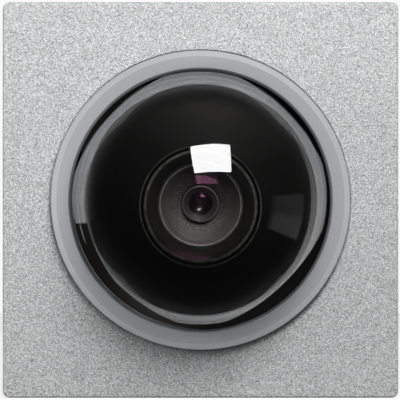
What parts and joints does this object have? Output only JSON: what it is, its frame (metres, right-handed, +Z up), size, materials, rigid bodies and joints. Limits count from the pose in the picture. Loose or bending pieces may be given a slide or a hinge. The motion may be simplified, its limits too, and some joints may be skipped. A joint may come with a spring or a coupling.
{
  "type": "dome camera module",
  "caption": "Flush square door station module with a clear dome over a hand-adjustable pan and tilt camera ball with day and night filter.",
  "frame": {"origin": "middle of the front panel's rear seat plane, behind the dome's centre", "axes": "+Z up, +X to the viewer's right as seen from the front, +Y into the wall; the dome points along -Y"},
  "size_m": [0.099, 0.0618, 0.099],
  "materials": {
    "panel_silver": "fine metallic silver lacquer",
    "collar_grey": "satin grey moulding",
    "seal_rubber": "soft black rubber",
    "dome_clear": "clear hard-coated polycarbonate",
    "housing_black": "fine spark-eroded black moulding",
    "ball_black": "satin black moulding",
    "bezel_black": "glossy black moulding",
    "baffle_black": "ribbed light baffle",
    "barrel_black": "black anodised",
    "lens_coated": "coated optical glass",
    "filter_pink": "infrared cut filter glass",
    "clear_glass": "clear glass",
    "pcb_green": "solder-masked circuit board",
    "chip_black": "moulded chip packages",
    "can_aluminium": "drawn cans",
    "screw_steel": "zinc plated",
    "pin_steel": "ground pins",
    "contact_brass": "gilded contacts",
    "terminal_grey": "light grey moulding",
    "header_black": "black moulding",
    "ribbon_film": "flat flexible film",
    "sensor_ceramic": "sensor package",
    "coil_copper": "wound enamelled wire",
    "bracket_alloy": "die-cast, tumbled",
    "ring_acetal": "black acetal",
    "washer_white": "low-friction washer",
    "spring_steel": "spring wire",
    "latch_grey": "grey acetal",
    "vent_membrane": "pressed vent"
  },
  "bodies": {
    "root": {"front_panel": "panel_silver", "panel_gasket": "seal_rubber", "trim_ring": "collar_grey", "trim_ring_screws": "screw_steel", "dome_cover": "dome_clear", "dome_seal": "seal_rubber", "rear_housing": "housing_black", "panel_screws": "screw_steel", "rear_cover": "housing_black", "cover_seal": "seal_rubber", "cover_screws": "screw_steel", "vent_plug": "vent_membrane", "heater_ring": "pcb_green", "heater_resistors": "chip_black", "main_board": "pcb_green", "board_chips": "chip_black", "power_components": "can_aluminium", "board_screws": "screw_steel", "ribbon_connector": "header_black", "board_ribbon": "ribbon_film", "connection_board": "pcb_green", "board_link_header": "header_black", "terminal_header": "header_black", "terminal_pins": "contact_brass", "gimbal_base": "bracket_alloy", "gimbal_screws": "screw_steel", "pan_pins": "pin_steel", "latch_spring_right": "spring_steel", "latch_spring_left": "spring_steel"},
    "pan_ring": {"gimbal_ring": "ring_acetal", "pivot_washers": "washer_white"},
    "camera_head": {"tilt_pins": "pin_steel", "camera_ball": "ball_black", "camera_bezel": "bezel_black", "bezel_screws": "screw_steel", "lens_retainer": "barrel_black", "front_lens": "lens_coated", "lens_baffle": "baffle_black", "lens_barrel": "barrel_black", "middle_lens": "lens_coated", "rear_lens": "lens_coated", "lens_spacer": "barrel_black", "lens_lock_ring": "barrel_black", "lens_holder": "header_black", "camera_screws": "screw_steel", "filter_frame": "header_black", "filter_coil": "coil_copper", "image_sensor": "sensor_ceramic", "sensor_cover_glass": "clear_glass", "sensor_board": "pcb_green", "sensor_connector": "header_black", "sensor_ribbon": "ribbon_film"},
    "filter_carriage": {"filter_slide": "ring_acetal", "ir_cut_glass": "filter_pink", "clear_glass": "clear_glass"},
    "filter_rotor": {"filter_arm": "ring_acetal"},
    "right_latch": {"latch_right": "latch_grey"},
    "left_latch": {"latch_left": "latch_grey"},
    "plug": {"terminal_plug": "terminal_grey", "terminal_screws": "screw_steel"}
  },
  "joints": [
    {"name": "camera_pan", "type": "hinge", "parent": "root", "child": "pan_ring", "pos_m": [0, -0.0055, 0], "axis": [0, 0, 1], "range_deg": [-15, 15]},
    {"name": "camera_tilt", "type": "hinge", "parent": "pan_ring", "child": "camera_head", "pos_m": [0, -0.0055, 0], "axis": [1, 0, 0], "range_deg": [-18.6, 11.4]},
    {"name": "filter_shift", "type": "slide", "parent": "camera_head", "child": "filter_carriage", "axis": [1, 0, 0], "range_m": [0, 0.007]},
    {"name": "filter_turn", "type": "hinge", "parent": "camera_head", "child": "filter_rotor", "pos_m": [0, -0.0104, 0.01262], "axis": [0, -0.998, -0.0628], "range_deg": [0, 51.9]},
    {"name": "right_latch_slide", "type": "slide", "parent": "root", "child": "right_latch", "axis": [-1, 0, 0], "range_m": [0, 0.0024], "stiffness_N_per_m": 800, "springref_m": -0.002, "deforming": ["latch_spring_right"]},
    {"name": "left_latch_slide", "type": "slide", "parent": "root", "child": "left_latch", "axis": [1, 0, 0], "range_m": [0, 0.0024], "stiffness_N_per_m": 800, "springref_m": -0.002, "deforming": ["latch_spring_left"]},
    {"name": "plug_pull", "type": "slide", "parent": "root", "child": "plug", "axis": [0, 1, 0], "range_m": [0, 0.012]}
  ],
  "couplings": [
    {"joint": "filter_turn", "follows": "filter_shift", "rad_per_m": 129.38}
  ]
}
